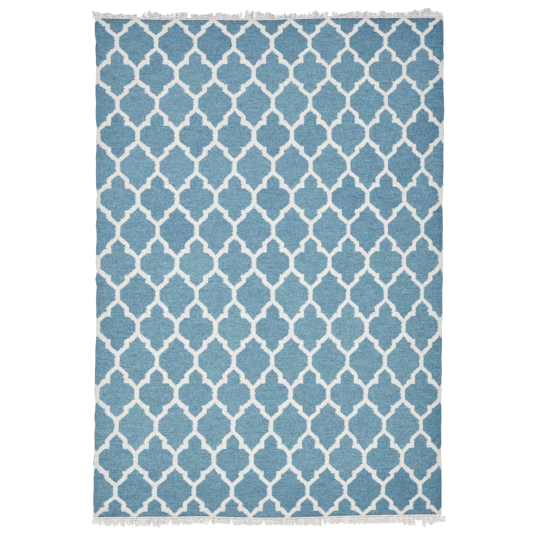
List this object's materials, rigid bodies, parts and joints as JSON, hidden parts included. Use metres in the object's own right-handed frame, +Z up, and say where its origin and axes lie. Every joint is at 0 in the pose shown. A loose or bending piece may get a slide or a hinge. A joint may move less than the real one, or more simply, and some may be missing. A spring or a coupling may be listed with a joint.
{
  "type": "kilim rug",
  "caption": "Flat-woven wool rug with a quatrefoil trellis in cream on blue and a short cotton warp fringe along each end.",
  "frame": {"origin": "on the floor, under the middle of the rug's outline with its fringes", "axes": "+Z up from the floor, +Y along the rug's length toward the end that is uppermost in the picture, +X to the right"},
  "size_m": [1.632, 2.3896, 0.004],
  "materials": {
    "wool_weave": "matt weft-faced wool, blue with a cream lattice",
    "cotton_warp": "matt undyed cotton yarn"
  },
  "bodies": {
    "root": {"woven_field": "wool_weave", "fringe_top": "cotton_warp", "fringe_bottom": "cotton_warp"}
  },
  "joints": []
}
